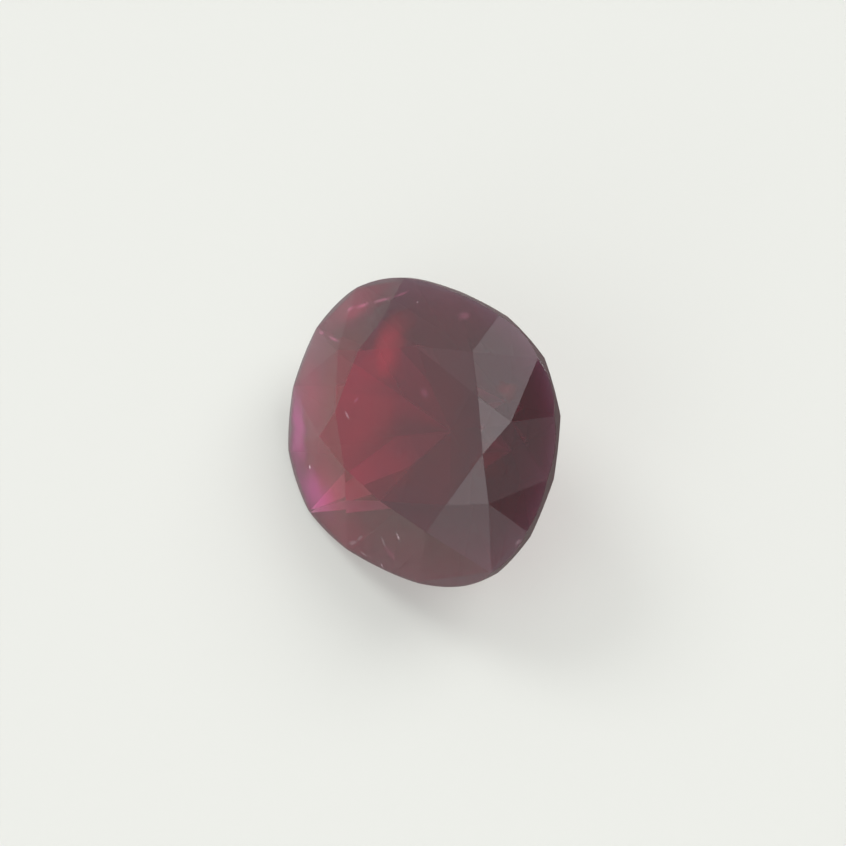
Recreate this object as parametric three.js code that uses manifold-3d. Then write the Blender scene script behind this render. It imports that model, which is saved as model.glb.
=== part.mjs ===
// A loose ruby cut as a cushion brilliant, lying on one pavilion facet.
//
// The stone is made as a cutter makes it. A blank with the outline of the girdle is laid out,
// and flat laps then cut it facet by facet. Every facet is planned by the points where it meets
// its neighbours: the girdle tips, the star tips, the table corners and the culet.
//
// Units are millimetres. The stone is planned upright, with +Z through the middle of the table
// and z = 0 at the top edge of the girdle, and is then turned to the pose it rests in.

import * as THREE from 'three';
import { mergeVertices } from 'three/addons/utils/BufferGeometryUtils.js';
import Module from 'manifold-3d';

// Girdle outline, as a radius that changes with the angle round the stone
const GIRDLE_RADIUS = 3.625; // mean radius
const OVAL = 0.194; // longer along X, shorter along Y
const LOPSIDED = 0.017; // one end fuller than the other
const LOPSIDED_TURN = 55.8; // degrees
const SQUARE = 0.099; // how far the four cushion corners stand out
const SQUARE_TURN = 40.7; // degrees to the first corner
const OFF_CENTRE = 0.023; // how far the outline's middle lies from the culet's
const OFF_CENTRE_TURN = 136; // degrees
const GIRDLE_THICKNESS = 0.257;
const OUTLINE_STEP = 3; // degrees, at most, between two points of the outline

// Heights above and below the girdle
const CROWN_HEIGHT = 0.966;
const PAVILION_DEPTH = 3.19;
const LOWER_BREAK = 0.3; // height of the pavilion's meeting points, as a share of its depth

// Crown mains, in order round the stone, in degrees: where the facet's tip meets the girdle,
// which way it faces, its slope, and where its upper corner meets the table.
const MAINS = [
  { tip: 0.3, facing: -2.8, slope: 38.4, corner: 6.6 },
  { tip: 43.8, facing: 46, slope: 37.4, corner: 36.8 },
  { tip: 89.4, facing: 92, slope: 37.5, corner: 90 },
  { tip: 134.8, facing: 135.2, slope: 31.2, corner: 135 },
  { tip: 181.1, facing: 180.2, slope: 25.8, corner: 180 },
  { tip: 225.8, facing: 223.7, slope: 25.3, corner: 225 },
  { tip: 270.7, facing: 267.2, slope: 29.1, corner: 269.5 },
  { tip: 318.2, facing: 314.3, slope: 30.4, corner: 328 },
];

// Between each main and the next: the height of the star's tip as a share of the crown's
// height, and the places on the girdle, in degrees, where the two upper halves meet and where
// the two lower halves meet.
const GAPS = [
  { star: 0.725, upper: 22.7, lower: 22.7 },
  { star: 0.808, upper: 66.3, lower: 65.5 },
  { star: 0.76, upper: 113.2, lower: 113.2 },
  { star: 0.77, upper: 157.7, lower: 158.5 },
  { star: 0.787, upper: 203.3, lower: 203.3 },
  { star: 0.779, upper: 248.2, lower: 248.2 },
  { star: 0.843, upper: 284.6, lower: 300.2 },
  { star: 0.728, upper: 339.8, lower: 337.5 },
];

// Resting pose: the pavilion main that lies on the surface, and the stone's turn on it
const RESTING_MAIN = 5;
const RESTING_TURN = -22.1; // degrees

const LAP_SIZE = 24;
const WELD = 1e-4; // corners closer than this are one corner

const wasm = await Module();
wasm.setup();

// A wave in the radius that stands out a number of times round the stone, first at the turn given
function wave(height, times, degrees, turn = 0) {
  return height * Math.cos(times * THREE.MathUtils.degToRad(degrees - turn));
}

function girdleRadius(degrees) {
  const oval = wave(OVAL, 2, degrees);
  const lopsided = wave(LOPSIDED, 3, degrees, LOPSIDED_TURN);
  const square = wave(SQUARE, 4, degrees, SQUARE_TURN);
  const offCentre = wave(OFF_CENTRE, 1, degrees, OFF_CENTRE_TURN);
  return GIRDLE_RADIUS + oval + lopsided + square + offCentre;
}

function girdlePoint(degrees, z) {
  const a = THREE.MathUtils.degToRad(degrees);
  const r = girdleRadius(degrees);
  return new THREE.Vector3(r * Math.cos(a), r * Math.sin(a), z);
}

// Direction that a facet faces: slope 0 is level, and 90 is upright like the girdle.
function facing(degrees, slope) {
  const a = THREE.MathUtils.degToRad(degrees);
  const s = THREE.MathUtils.degToRad(slope);
  return new THREE.Vector3(Math.sin(s) * Math.cos(a), Math.sin(s) * Math.sin(a), Math.cos(s));
}

function planeAt(normal, point) {
  return new THREE.Plane().setFromNormalAndCoplanarPoint(normal, point);
}

function levelAt(z) {
  return planeAt(new THREE.Vector3(0, 0, 1), new THREE.Vector3(0, 0, z));
}

// The one point that three planes share
function meet(p, q, r) {
  const qr = new THREE.Vector3().crossVectors(q.normal, r.normal);
  const rp = new THREE.Vector3().crossVectors(r.normal, p.normal);
  const pq = new THREE.Vector3().crossVectors(p.normal, q.normal);
  const volume = p.normal.dot(qr);
  const sum = qr.multiplyScalar(p.constant);
  sum.addScaledVector(rp, q.constant);
  sum.addScaledVector(pq, r.constant);
  return sum.multiplyScalar(-1 / volume);
}

// The facet through three points, facing away from the middle of the stone
function facetThrough(a, b, c) {
  const plane = new THREE.Plane().setFromCoplanarPoints(a, b, c);
  return plane.constant > 0 ? plane.negate() : plane;
}

function next(list, k) {
  return list[(k + 1) % list.length];
}

// Crown: table, stars, mains and upper halves
function crownFacets() {
  const table = levelAt(CROWN_HEIGHT);
  const mains = MAINS.map((m) => planeAt(facing(m.facing, m.slope), girdlePoint(m.tip, 0)));
  const tips = MAINS.map((m) => girdlePoint(m.tip, 0));
  const corners = MAINS.map((m, k) => {
    const side = planeAt(facing(m.corner + 90, 90), new THREE.Vector3());
    return meet(mains[k], table, side);
  });
  const facets = [table, ...mains];
  GAPS.forEach((gap, k) => {
    const starTip = meet(mains[k], next(mains, k), levelAt(gap.star * CROWN_HEIGHT));
    const middle = girdlePoint(gap.upper, 0);
    facets.push(facetThrough(corners[k], next(corners, k), starTip));
    facets.push(facetThrough(starTip, tips[k], middle));
    facets.push(facetThrough(starTip, middle, next(tips, k)));
  });
  return facets;
}

// Pavilion: mains that all meet at the culet, under the crown's, and two lower halves between
function pavilionMain(k) {
  const { tip } = MAINS[k];
  const slope = THREE.MathUtils.radToDeg(Math.atan2(PAVILION_DEPTH, girdleRadius(tip)));
  return planeAt(facing(tip, 180 - slope), girdlePoint(tip, -GIRDLE_THICKNESS));
}

function pavilionFacets() {
  const mains = MAINS.map((m, k) => pavilionMain(k));
  const tips = MAINS.map((m) => girdlePoint(m.tip, -GIRDLE_THICKNESS));
  const breakLevel = levelAt(-GIRDLE_THICKNESS - (1 - LOWER_BREAK) * PAVILION_DEPTH);
  const facets = [...mains];
  GAPS.forEach((gap, k) => {
    const lowerTip = meet(mains[k], next(mains, k), breakLevel);
    const middle = girdlePoint(gap.lower, -GIRDLE_THICKNESS);
    facets.push(facetThrough(lowerTip, tips[k], middle));
    facets.push(facetThrough(lowerTip, middle, next(tips, k)));
  });
  return facets;
}

// Closed geometry to a solid, and back
function toSolid(geometry) {
  const bare = geometry.index ? geometry.toNonIndexed() : geometry.clone();
  bare.deleteAttribute('normal');
  bare.deleteAttribute('uv');
  const merged = mergeVertices(bare, WELD);
  return new wasm.Manifold(new wasm.Mesh({
    numProp: 3,
    vertProperties: Float32Array.from(merged.attributes.position.array),
    triVerts: Uint32Array.from(merged.index.array),
  }));
}

function toGeometry(solid) {
  const mesh = solid.getMesh();
  const raw = new THREE.BufferGeometry();
  raw.setAttribute('position', new THREE.BufferAttribute(mesh.vertProperties, 3));
  raw.setIndex(new THREE.BufferAttribute(mesh.triVerts, 1));
  const merged = mergeVertices(raw, WELD);
  const kept = [];
  for (let i = 0; i < merged.index.count; i += 3) {
    const [a, b, c] = merged.index.array.slice(i, i + 3);
    if (a !== b && b !== c && c !== a) kept.push(a, b, c);
  }
  merged.setIndex(kept);
  const flat = merged.toNonIndexed();
  flat.computeVertexNormals();
  return flat;
}

// The outline has a point wherever facets meet on the girdle, and even steps between those
function outlineAngles() {
  const meetings = MAINS.flatMap((main, k) => [main.tip, GAPS[k].upper, GAPS[k].lower]);
  meetings.sort((a, b) => a - b);
  return meetings.flatMap((start, k) => {
    const end = k + 1 < meetings.length ? meetings[k + 1] : meetings[0] + 360;
    const steps = Math.ceil((end - start) / OUTLINE_STEP);
    return Array.from({ length: steps }, (_, i) => start + ((end - start) * i) / steps);
  });
}

// The blank, with the girdle's outline and the stone's full height
function blank() {
  const outline = new THREE.Shape(outlineAngles().map((degrees) => {
    const { x, y } = girdlePoint(degrees, 0);
    return new THREE.Vector2(x, y);
  }));
  const bottom = -GIRDLE_THICKNESS - PAVILION_DEPTH;
  const geometry = new THREE.ExtrudeGeometry(outline, {
    depth: CROWN_HEIGHT - bottom,
    bevelEnabled: false,
  });
  geometry.translate(0, 0, bottom);
  return toSolid(geometry);
}

// A block whose near face is the facet, to be cut away
function lap(plane) {
  const block = new THREE.BoxGeometry(LAP_SIZE, LAP_SIZE, LAP_SIZE);
  block.translate(0, 0, LAP_SIZE / 2);
  const up = new THREE.Vector3(0, 0, 1);
  block.applyQuaternion(new THREE.Quaternion().setFromUnitVectors(up, plane.normal));
  const foot = plane.coplanarPoint(new THREE.Vector3());
  block.translate(foot.x, foot.y, foot.z);
  return toSolid(block);
}

function cutStone() {
  let stone = blank();
  for (const plane of [...crownFacets(), ...pavilionFacets()]) {
    stone = stone.subtract(lap(plane));
  }
  return toGeometry(stone);
}

// Lay the stone down on its resting facet, with the middle of its underside over the origin
function restOn(mesh, plane) {
  const down = new THREE.Vector3(0, 0, -1);
  mesh.quaternion.setFromUnitVectors(plane.normal, down);
  const turn = new THREE.Quaternion();
  turn.setFromAxisAngle(new THREE.Vector3(0, 0, 1), THREE.MathUtils.degToRad(RESTING_TURN));
  mesh.quaternion.premultiply(turn);
  mesh.updateMatrixWorld(true);
  const box = new THREE.Box3().setFromObject(mesh, true);
  const middle = box.getCenter(new THREE.Vector3());
  mesh.position.set(-middle.x, -middle.y, -box.min.z);
}

const rubyRed = new THREE.MeshStandardMaterial({
  color: 0x6e2436,
  roughness: 0.08,
  metalness: 0,
});

const ruby = new THREE.Mesh(cutStone(), rubyRed);
ruby.name = 'ruby';
restOn(ruby, pavilionMain(RESTING_MAIN));

const stone = new THREE.Group();
stone.add(ruby);

export default stone;
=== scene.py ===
# %% [markdown]
# A loose ruby, cut by hand as a cushion brilliant, lying on a plain white floor.
#
# It has come to rest on one flat of its underside, so its large top facet, the table, leans to the
# left. Its size, its facets and its pose come from the imported model. This script gives it its looks:
# the polish, the red of the crystal, the silk, painted glow and pale marks inside, and the light round
# it.

# %% Load the imported stone
import math
import random

import bmesh
import bpy
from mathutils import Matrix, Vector


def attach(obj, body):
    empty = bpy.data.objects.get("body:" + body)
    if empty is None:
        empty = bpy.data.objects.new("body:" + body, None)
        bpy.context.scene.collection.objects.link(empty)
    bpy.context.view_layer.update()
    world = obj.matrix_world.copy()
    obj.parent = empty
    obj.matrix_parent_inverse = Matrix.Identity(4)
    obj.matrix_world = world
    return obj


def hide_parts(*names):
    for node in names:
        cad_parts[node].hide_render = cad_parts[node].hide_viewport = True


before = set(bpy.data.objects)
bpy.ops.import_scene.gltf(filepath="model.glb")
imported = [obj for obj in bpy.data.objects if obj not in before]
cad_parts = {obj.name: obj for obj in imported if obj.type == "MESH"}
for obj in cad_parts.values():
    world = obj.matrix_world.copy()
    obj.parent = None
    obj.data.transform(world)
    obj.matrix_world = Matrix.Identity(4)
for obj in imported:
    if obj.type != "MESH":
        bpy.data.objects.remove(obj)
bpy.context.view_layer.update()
MM = 0.001

# %% [markdown]
# A gem's look hangs on its facets being true planes: a facet that bends by half a degree shows a
# kinked reflection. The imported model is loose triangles, many to a facet. Dissolving them by angle is
# the quick way, but it also joins neighbours that turn very little, as on the girdle. So the planes
# are read from a merged copy, largest triangle first. A triangle whose corners all lie in a known
# plane adds nothing. Any other gives a new plane, if the whole stone lies behind it.

# %% Read one plane for each facet
NEAR = 0.001 * MM  # corners this close to a plane lie in it


def facets_of(mesh):
    """A point and a direction for each facet."""
    bm = bmesh.new()
    bm.from_mesh(mesh)
    bmesh.ops.remove_doubles(bm, verts=bm.verts, dist=NEAR)
    facets = []
    for face in sorted(bm.faces, key=lambda face: -face.calc_area()):
        point, normal = face.verts[0].co.copy(), face.normal.copy()
        corners = [vert.co for vert in face.verts]
        known = any(all(abs((c - p).dot(n)) < NEAR for c in corners) for p, n in facets)
        outside = max((vert.co - point).dot(normal) for vert in bm.verts)
        if not known and outside < NEAR:
            facets.append((point, normal))
    bm.free()
    return facets


facets = facets_of(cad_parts["ruby"].data)
print("facets:", len(facets))

# %% [markdown]
# A cutter holds the rough against a turning lap and grinds one flat after another. The same is done
# here: a block is cut by each plane in turn. bisect_plane clears the outer side, and edgeloop_fill
# closes the cut with one face, so that every facet ends as exactly one face.

# %% Cut the stone again, facet by facet
ROUGH = 12 * MM
ON_PLANE = 1e-9  # m, corners this close to the cut count as on it


def grind(bm, point, normal):
    """Cuts away what lies outside the plane and closes the cut with one face."""
    everything = bm.verts[:] + bm.edges[:] + bm.faces[:]
    cut = bmesh.ops.bisect_plane(
        bm, geom=everything, dist=ON_PLANE, plane_co=point, plane_no=normal, clear_outer=True
    )
    rim = [e for e in cut["geom_cut"] if isinstance(e, bmesh.types.BMEdge)]
    if len(rim) > 2:
        bmesh.ops.edgeloop_fill(bm, edges=rim)


stone = bmesh.new()
bmesh.ops.create_cube(stone, size=ROUGH)
for point, normal in facets:
    grind(stone, point, normal)
bmesh.ops.recalc_face_normals(stone, faces=stone.faces)
table_normal = max(stone.faces, key=lambda face: face.calc_area()).normal.copy()
print("faces after grinding:", len(stone.faces))

# %% [markdown]
# The junctions of an old or hand-cut stone aren't knife sharp. Each has worn to a flat about a
# hundredth of a millimetre wide, and it shows as a fine line where that flat catches the light. A
# bevel could do this, but where five or six facets meet it makes knots. Grinding each junction off
# with one more plane keeps the stone convex and clean. The width varies a little from edge to edge.

# %% Wear the facet junctions
random.seed(7)
WEAR = (0.003 * MM, 0.009 * MM)  # width of the worn flats
SHARP = math.radians(5)  # the girdle's own steps turn less than this
SPECK = 1e-3 * MM**2  # a face smaller than this has no sure direction


def worn_flats(bm):
    """A point and a direction for the plane that grinds each junction flat."""
    flats = []
    for edge in bm.edges:
        a, b = edge.link_faces
        turn = a.normal.angle(b.normal)
        if turn > SHARP and min(a.calc_area(), b.calc_area()) > SPECK:
            width = random.uniform(*WEAR)
            depth = width / 2 * math.tan(turn / 2)
            normal = (a.normal + b.normal).normalized()
            middle = (edge.verts[0].co + edge.verts[1].co) / 2
            flats.append((middle - normal * depth, normal))
    return flats


flats = worn_flats(stone)
for point, normal in flats:
    grind(stone, point, normal)
bmesh.ops.recalc_face_normals(stone, faces=stone.faces)
open_edges = sum(1 for edge in stone.edges if len(edge.link_faces) != 2)
print("worn junctions:", len(flats), "faces:", len(stone.faces), "open edges:", open_edges)

# %% [markdown]
# Not every face had the same finish. The girdle, the narrow band round the stone, was only shaped by
# rubbing and stayed frosted. The underside has a coarser polish than the crown. A face attribute
# carries that, so that one material can read it and the stone stays one piece. A third attribute
# marks the facets that turn toward the viewer: they get less of the painted glow, a painted shade.

# %% Mark how each face was finished
GIRDLE_LEAN = 0.1  # cosine to the table's direction under which a face is girdle
TURNED = -0.45  # a facet that faces the viewer's side by more than this
bruted = stone.faces.layers.float.new("bruted")
lapped = stone.faces.layers.float.new("lapped")
# dim: facets facing the viewer, where the painted glow gets a painted shade
dim = stone.faces.layers.float.new("dim")
for face in stone.faces:
    lean = face.normal.dot(table_normal)
    face[bruted] = 1.0 if abs(lean) < GIRDLE_LEAN else 0.0
    face[lapped] = 1.0 if lean < -GIRDLE_LEAN else 0.0
    face[dim] = 1.0 if face.normal.y < TURNED else 0.0
girdle_faces = [face for face in stone.faces if face[bruted]]
girdle_top = max(vert.co.dot(table_normal) for face in girdle_faces for vert in face.verts)
print("girdle faces:", len(girdle_faces), "top of the girdle, mm:", round(girdle_top / MM, 3))

# %% [markdown]
# The cut mesh becomes the visible stone. It rides on the model's one body and stands in for the
# imported ruby, which is hidden.

# %% Make the stone an object
mesh = bpy.data.meshes.new("ruby_stone")
stone.to_mesh(mesh)
stone.free()
ruby = bpy.data.objects.new("ruby_stone", mesh)
bpy.context.scene.collection.objects.link(ruby)
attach(ruby, "root")
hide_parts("ruby")
print("stone's faces:", len(mesh.polygons))

# %% [markdown]
# Two helpers keep the materials short. Colours are written as sRGB hex, and shader sockets take
# linear values, so one function turns them. The other adds a node and connects it in one call.

# %% Helpers for materials


def colour(hex_code):
    """sRGB hex to the linear values that the sockets take."""
    parts = [int(hex_code[i : i + 2], 16) / 255 for i in (0, 2, 4)]
    return (*[p / 12.92 if p <= 0.04045 else ((p + 0.055) / 1.055) ** 2.4 for p in parts], 1)


def add(tree, kind, settings=None, **links):
    """Adds a node. Settings are its properties. Links are values or sockets for its inputs, by name
    or, where names repeat, by number after an underscore."""
    node = tree.nodes.new("ShaderNode" + kind)
    for name, value in (settings or {}).items():
        setattr(node, name, value)
    for name, value in links.items():
        number = name[1:].isdigit()
        socket = node.inputs[int(name[1:])] if number else node.inputs[name.replace("_", " ")]
        if isinstance(value, bpy.types.NodeSocket):
            tree.links.new(value, socket)
        else:
            socket.default_value = value
    return node


def vector_math(tree, operation, a, b):
    return add(tree, "VectorMath", {"operation": operation}, _0=a, _1=b).outputs["Vector"]


def scaled(tree, vector, scale):
    node = add(tree, "VectorMath", {"operation": "SCALE"}, _0=vector, Scale=scale)
    return node.outputs["Vector"]


# %% [markdown]
# Ruby is corundum coloured by chromium, and this one isn't clean. It has silk: needles and tiny
# bubbles too fine to see one by one, which scatter light. The light that comes through the stone,
# all along the left, red in the middle and pink at the thin edge, is painted on as a glow.
#
# True scattering in a volume would need hundreds of samples to come out smooth. A cloud just under a
# polished facet looks much like a faint matt colour in the facet, so the silk and the painted glow
# are soft regions in space, in millimetres, where a small share of the surface turns from clear to
# matt. A little noise pushes the place sideways first, so that the regions get wispy borders.

# %% Material and the place in millimetres
material = bpy.data.materials.new("polished_corundum")
material.use_nodes = True
tree = material.node_tree
tree.nodes.clear()
WISP_SIZE = 0.9  # mm
WISP_DRIFT = 0.9  # mm
place = scaled(tree, add(tree, "TexCoord").outputs["Object"], 1 / MM)
wisps = add(tree, "TexNoise", Vector=place, Scale=1 / WISP_SIZE, Detail=3.0, Roughness=0.6)
drift = vector_math(tree, "SUBTRACT", wisps.outputs["Color"], (0.5, 0.5, 0.5))
drifted = vector_math(tree, "ADD", place, scaled(tree, drift, WISP_DRIFT))

# %% Silk, painted glow, streaks and spots as soft regions round a line
RED, ROSE, PINK, PALE, WHITE = "ff2c50", "ff4078", "ff5cc4", "ff90b8", "ffe0e8"
SILK_AND_PAINTED_GLOW = (  # from, to, reach in mm, how dense, colour
    # the wide painted glow of the left half, and what little of it reaches the middle
    ((-1.8, 1.0, 2.8), (-1.7, -1.0, 2.2), 2.2, 0.085, RED),
    ((-2.6, 2.2, 1.8), (-2.4, -1.6, 0.8), 1.3, 0.06, ROSE),
    ((0.1, 2.2, 4.2), (0.5, -2.0, 3.4), 2.2, 0.018, RED),
    # patches of red painted glow under the table and the facets at its right
    ((-0.7, 1.95, 3.95), (-0.85, 1.4, 3.7), 0.7, 0.12, RED),
    ((-1.35, 1.2, 3.35), (-0.5, 1.15, 3.8), 0.55, 0.045, RED),
    ((-1.0, 0.2, 3.2), (-1.5, -0.3, 2.7), 0.6, 0.03, RED),
    ((-0.7, -1.05, 3.1), (-0.4, -1.15, 3.2), 0.6, 0.03, RED),
    ((1.5, -1.2, 4.6), (1.6, -1.5, 4.5), 0.5, 0.03, RED),
    ((1.84, 0.29, 5.0), (1.95, 0.15, 5.0), 0.3, 0.03, RED),
    # the pink painted glow along the rim, from the upper left round to the bottom
    ((-2.2, 2.8, 2.2), (-1.1, 3.1, 3.2), 0.9, 0.06, ROSE),
    ((-2.6, 1.65, 1.4), (-2.5, 0.75, 1.6), 0.9, 0.04, ROSE),
    ((-2.93, 1.2, 1.05), (-2.95, -0.25, 0.65), 0.5, 0.22, PINK),
    ((-2.9, -0.65, 0.5), (-2.3, -1.1, 0.9), 0.8, 0.2, PINK),
    ((-2.3, -0.85, 1.3), (-2.0, -1.05, 1.6), 0.8, 0.07, ROSE),
    ((-2.1, -1.6, 0.7), (-1.6, -2.0, 1.2), 1.0, 0.18, ROSE),
    ((-1.0, -2.5, 1.6), (1.2, -2.9, 2.6), 1.5, 0.06, ROSE),
)
STREAKS_AND_SPOTS = (
    # a long pale streak at the top left, with a rose halo round it
    ((-1.74, 2.87, 2.6), (-1.6, 2.86, 2.77), 0.09, 0.16, PALE),
    ((-1.55, 2.85, 2.82), (-1.22, 2.84, 3.19), 0.09, 0.16, PALE),
    ((-1.2, 2.85, 3.2), (-0.69, 2.86, 3.58), 0.08, 0.16, PALE),
    ((-0.69, 2.86, 3.58), (-0.33, 2.97, 3.7), 0.05, 0.1, PALE),
    ((-1.75, 2.7, 2.6), (-1.3, 2.75, 3.05), 0.3, 0.06, ROSE),
    # a pale streak below it
    ((-2.39, 2.59, 1.82), (-2.27, 2.47, 2.05), 0.07, 0.2, PALE),
    ((-2.2, 2.38, 2.2), (-1.9, 2.05, 2.75), 0.06, 0.2, PALE),
    # small bright marks at the left of the table and near the left edge
    ((-1.78, 0.43, 2.7), (-1.69, 0.24, 2.71), 0.04, 0.2, WHITE),
    ((-1.57, 0.58, 2.92), (-1.48, 0.65, 3.01), 0.05, 0.1, PALE),
    ((-2.59, -0.34, 0.98), (-2.59, -0.4, 0.93), 0.04, 0.7, WHITE),
    # white and pale marks along the bottom
    ((-0.62, -2.28, 2.23), (-0.53, -2.47, 2.08), 0.05, 0.3, WHITE),
    ((-0.83, -2.49, 1.6), (-0.67, -2.71, 1.52), 0.16, 0.06, PALE),
    ((-0.96, -2.26, 1.75), (-0.87, -2.45, 1.6), 0.05, 0.14, WHITE),
    ((-0.96, -2.69, 1.08), (-0.92, -2.77, 1.03), 0.04, 0.3, WHITE),
    ((-1.69, -2.14, 0.74), (-1.53, -2.15, 1.0), 0.07, 0.12, WHITE),
    ((-1.5, -2.14, 1.05), (-1.39, -2.1, 1.31), 0.05, 0.12, WHITE),
    ((-1.44, -2.34, 0.85), (-1.3, -2.47, 0.88), 0.05, 0.14, WHITE),
    ((2.09, -2.9, 3.33), (2.18, -2.83, 3.42), 0.06, 0.12, WHITE),
    # a speck and two soft spots
    ((-0.15, 2.65, 3.91), (-0.12, 2.65, 3.93), 0.03, 0.2, WHITE),
    ((0.89, 2.15, 4.51), (0.95, 2.11, 4.54), 0.18, 0.06, PALE),
    ((0.0, 0.46, 4.11), (0.05, 0.4, 4.14), 0.14, 0.06, PALE),
)
SMOOTHER = {"interpolation_type": "SMOOTHERSTEP"}


def soft_region(where, start, end, reach, density, hex_code):
    """A soft region round the line between two points, as its colour times how dense it is."""
    start, end = Vector(start), Vector(end)
    along = end - start
    half = along.length / 2 + reach
    mapping = add(
        tree,
        "Mapping",
        {"vector_type": "TEXTURE"},
        Vector=where,
        Location=(start + end) / 2,
        Rotation=along.to_track_quat("X", "Z").to_euler(),
        Scale=(half, reach, reach),
    )
    far = add(tree, "VectorMath", {"operation": "LENGTH"}, _0=mapping.outputs["Vector"])
    thick = add(tree, "MapRange", SMOOTHER, _0=far.outputs["Value"], _1=1.0, _2=0.0, _4=density)
    return scaled(tree, colour(hex_code)[:3], thick.outputs["Result"])


HAZE = 0.005  # what little the clear crystal scatters
CLEAREST = Vector(colour("f8e8f0")[:3]) * HAZE


def gathered(where, regions, silk_and_painted_glow):
    """The regions added to what is there already."""
    for region in regions:
        silk_and_painted_glow = vector_math(tree, "ADD", soft_region(where, *region), silk_and_painted_glow)
    return silk_and_painted_glow


print("silk_and_glow and streaks_and_spots:", len(SILK_AND_PAINTED_GLOW) + len(STREAKS_AND_SPOTS))

# %% [markdown]
# The sum above holds both how much the silk and the painted glow show and their colour. Every
# colour in it is nearly full in red, so the red part is the share of matt surface, and the sum over
# that share is the tone. Just above the girdle the silk and painted glow fade out, which leaves a
# thin dark outline. Facets turned toward the viewer get less of them, a painted shade; streaks and
# spots stay.

# %% How much is matt, and its tone
# the silk and painted glow fade in between these heights above the girdle, leaving a dark edge
GLOW_FADE_FROM, GLOW_FADE_TO = 0.0, 0.07  # mm above the girdle between which the silk begins
DIM_SHARE = 0.3
level = add(tree, "VectorMath", {"operation": "DOT_PRODUCT"}, _0=place, _1=table_normal)
SMOOTH = {"interpolation_type": "SMOOTHSTEP"}
edge = girdle_top / MM
inner = add(tree, "MapRange", SMOOTH, _0=level.outputs["Value"], _1=edge + GLOW_FADE_FROM, _2=edge + GLOW_FADE_TO)
# painted shade: the painted glow is cut to DIM_SHARE on facets that face the viewer
dimmed = add(tree, "Attribute", {"attribute_name": "dim"}).outputs["Fac"]
lit = add(tree, "MapRange", _0=dimmed, _3=1.0, _4=DIM_SHARE).outputs["Result"]
held = add(tree, "Math", {"operation": "MULTIPLY"}, _0=inner.outputs["Result"], _1=lit)
# silk haze plus the painted glow of light through the stone, summed from the soft regions
silk_and_painted_glow = scaled(tree, gathered(drifted, SILK_AND_PAINTED_GLOW, (0.0, 0.0, 0.0)), held.outputs["Value"])
silk_and_painted_glow = gathered(place, STREAKS_AND_SPOTS, vector_math(tree, "ADD", silk_and_painted_glow, CLEAREST))
share = add(tree, "SeparateXYZ", Vector=silk_and_painted_glow).outputs["X"]
over = add(tree, "Math", {"operation": "DIVIDE"}, _0=1.0, _1=share).outputs["Value"]
tone = scaled(tree, silk_and_painted_glow, over)

# %% [markdown]
# The crown is polished, so its roughness is low. The underside isn't seen from outside: a higher
# roughness there blurs what is seen through the stone, as the silk and the coarse polish do in
# truth. The frosted girdle is partly matt and dark red.

# %% The surface
CROWN_ROUGHNESS, UNDERSIDE_ROUGHNESS, GIRDLE_ROUGHNESS = 0.08, 0.55, 0.5
GIRDLE_SHARE = 0.15
GIRDLE_RED = colour("6a2838")
CORUNDUM_IOR = 1.77
girdle = add(tree, "Attribute", {"attribute_name": "bruted"}).outputs["Fac"]
underside = add(tree, "Attribute", {"attribute_name": "lapped"}).outputs["Fac"]
rough = add(tree, "MapRange", _0=girdle, _3=CROWN_ROUGHNESS, _4=GIRDLE_ROUGHNESS).outputs["Result"]
rough = add(tree, "Mix", {"data_type": "FLOAT"}, _0=underside, _2=rough, _3=UNDERSIDE_ROUGHNESS)
matt = add(tree, "Mix", {"data_type": "FLOAT"}, _0=girdle, _2=share, _3=GIRDLE_SHARE).outputs[0]
clear = add(tree, "Math", {"operation": "SUBTRACT"}, _0=1.0, _1=matt).outputs["Value"]
body = add(tree, "Mix", {"data_type": "RGBA"}, _0=girdle, _6=tone, _7=GIRDLE_RED).outputs[2]
surface = add(
    tree,
    "BsdfPrincipled",
    Base_Color=body,
    Roughness=rough.outputs[0],
    IOR=CORUNDUM_IOR,
    Transmission_Weight=clear,
)

# %% [markdown]
# The red itself is in the depth of the crystal. Chromium takes green light out most, then blue, and
# red least, so a thin edge is pink and a thick middle dark red. Volume absorption does exactly this.
# It takes away, for each metre of path, its density times one minus its colour.

# %% The colour of the crystal
ABSORB = (400, 1400, 800)  # red, green and blue taken out per metre
DENSITY = 1500
clarity = [1 - a / DENSITY for a in ABSORB]
absorption = add(tree, "VolumeAbsorption", Color=(*clarity, 1), Density=DENSITY)
output = add(tree, "OutputMaterial")
tree.links.new(surface.outputs["BSDF"], output.inputs["Surface"])
tree.links.new(absorption.outputs["Volume"], output.inputs["Volume"])
ruby.data.materials.append(material)
left = [round(math.exp(-a * MM), 2) for a in ABSORB]
print("light left after 1 mm of ruby:", left)

# %% [markdown]
# The stone lies on a plain white floor, which lights it from below and shows in its left facets. The
# shadow round it is faint. Thin opal glass with a little light coming up through it gives that, so
# the floor is a pale matt surface that also glows a little. A wide disc is enough. It isn't part of
# the stone.

# %% Floor
FLOOR_RADIUS = 2  # m
FLOOR_GLOW = 0.28  # as a share of full white
floor_bm = bmesh.new()
bmesh.ops.create_circle(floor_bm, cap_ends=True, segments=64, radius=FLOOR_RADIUS)
floor_mesh = bpy.data.meshes.new("floor")
floor_bm.to_mesh(floor_mesh)
floor_bm.free()
floor = bpy.data.objects.new("floor", floor_mesh)
bpy.context.scene.collection.objects.link(floor)
opal = bpy.data.materials.new("opal_glass_sheet")
opal.use_nodes = True
opal_shader = opal.node_tree.nodes["Principled BSDF"]
opal_shader.inputs["Base Color"].default_value = colour("a9a9a3")
opal_shader.inputs["Roughness"].default_value = 0.9
opal_shader.inputs["Emission Color"].default_value = colour("fffffb")
opal_shader.inputs["Emission Strength"].default_value = FLOOR_GLOW
floor.data.materials.append(opal)
print("floor, m across:", 2 * FLOOR_RADIUS)

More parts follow.
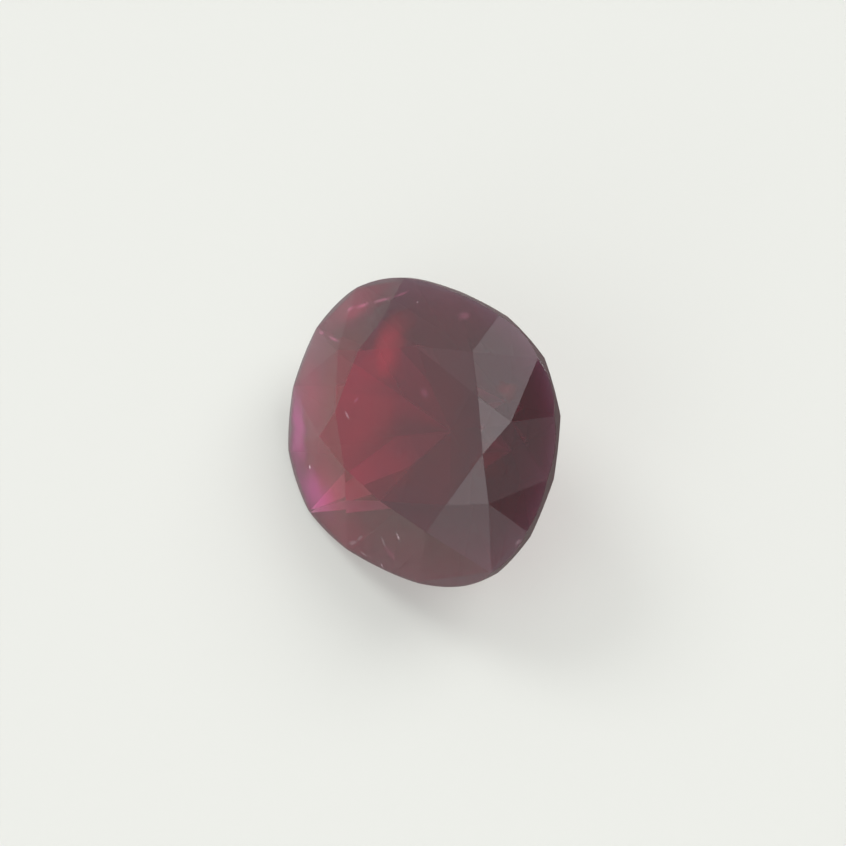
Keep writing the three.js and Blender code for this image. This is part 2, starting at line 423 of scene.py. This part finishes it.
# %% [markdown]
# A polished stone is mostly a set of small mirrors, so the light has to come from the right places.
# Each crown facet shows one small part of the room. Lamps that are seen as panels would give hard
# shapes in them, so the room is painted on the world instead: pale walls, a dimmer ceiling and right
# side, a dark place where the viewer stands, and round soft windows that fade at the border.

# %% Helpers for the room
world = bpy.data.worlds.new("studio")
bpy.context.scene.world = world
world.use_nodes = True
sky = world.node_tree
sky.nodes.clear()
way = add(sky, "TexCoord").outputs["Generated"]


def toward(azimuth, elevation):
    """Direction from the stone: azimuth 0 is +X and 90 is +Y, the top of the picture."""
    a, e = math.radians(azimuth), math.radians(elevation)
    return Vector((math.cos(e) * math.cos(a), math.cos(e) * math.sin(a), math.sin(e)))


def lobe(centre, inner, outer):
    """1 in a round patch of sky, fading to 0 between two angles from its centre, in degrees."""
    to_centre = add(sky, "VectorMath", {"operation": "DOT_PRODUCT"}, _0=way, _1=centre)
    low, high = math.cos(math.radians(outer)), math.cos(math.radians(inner))
    fade = add(sky, "MapRange", SMOOTH, _0=to_centre.outputs["Value"], _1=low, _2=high)
    return fade.outputs["Result"]


# %% The room
WALLS, CEILING = 0.88, 0.45
WALL_TOP, CEILING_EDGE = 0.6, 0.8  # as the height part of the direction
PATCHES = (  # azimuth, elevation, inner and outer angle, brightness
    # the dim right side, and the dark round the viewer with two paler spots in it
    (0, 15, 50, 75, 0.45),
    (-45, 60, 34, 44, 0.34),
    (-95, 48, 8, 12, 0.62),
    (-61, 52, 5, 9, 0.6),
    # panes that the facets between the table and the right corner show
    (-150, 56, 10, 22, 2.0),
    (-131, 24, 10, 17, 1.6),
    (-121, 4, 6, 10, 1.2),
    (169, 37, 6, 10, 1.05),
    (108, 68, 14, 20, 1.52),
    (94, 46, 10, 18, 1.58),
    # two lamps that light the floor, where no facet or worn edge shows them
    (131, 48, 9, 15, 9.0),
    (40, 45, 12, 20, 8.5),
)
height = add(sky, "SeparateXYZ", Vector=way).outputs["Z"]
bright = add(sky, "MapRange", SMOOTH, _0=height, _1=WALL_TOP, _2=CEILING_EDGE, _3=WALLS, _4=CEILING)
bright = bright.outputs["Result"]
for azimuth, elevation, inner_angle, outer_angle, strength in PATCHES:
    patch = lobe(toward(azimuth, elevation), inner_angle, outer_angle)
    bright = add(sky, "Mix", {"data_type": "FLOAT"}, _0=patch, _2=bright, _3=strength).outputs[0]
DAYLIGHT = colour("f6f8fa")
background = add(sky, "Background", Color=DAYLIGHT, Strength=bright)
world_output = add(sky, "OutputWorld")
sky.links.new(background.outputs["Background"], world_output.inputs["Surface"])
print("patches of light:", len(PATCHES))

# %% [markdown]
# The picture was taken from above and a little in front, close in and with no visible perspective. A
# long lens far away gives the same view. The camera looks at a point near the top of the stone, from
# as far back as makes the picture the right width there.

# %% Camera
CAMERA_ELEVATION = math.radians(73.2)
LENS, SENSOR = 600, 36  # mm
FRAME_WIDTH = 19.145 * MM  # what the picture is wide, at the crown
AIM = Vector((-0.011, -0.09, 3.5)) * MM
camera = bpy.data.objects.new("camera", bpy.data.cameras.new("camera"))
bpy.context.scene.collection.objects.link(camera)
camera.data.lens = LENS
camera.data.sensor_width = SENSOR
back = Vector((0, -math.cos(CAMERA_ELEVATION), math.sin(CAMERA_ELEVATION)))
camera.location = AIM + back * FRAME_WIDTH * LENS / SENSOR
camera.rotation_euler = (math.pi / 2 - CAMERA_ELEVATION, 0, 0)
bpy.context.scene.camera = camera
print("camera, mm from the stone:", round((camera.location - AIM).length / MM))

# %% [markdown]
# The standard view transform shows the values as they are, which suits a plain product picture.

# %% View transform
bpy.context.scene.view_settings.view_transform = "Standard"
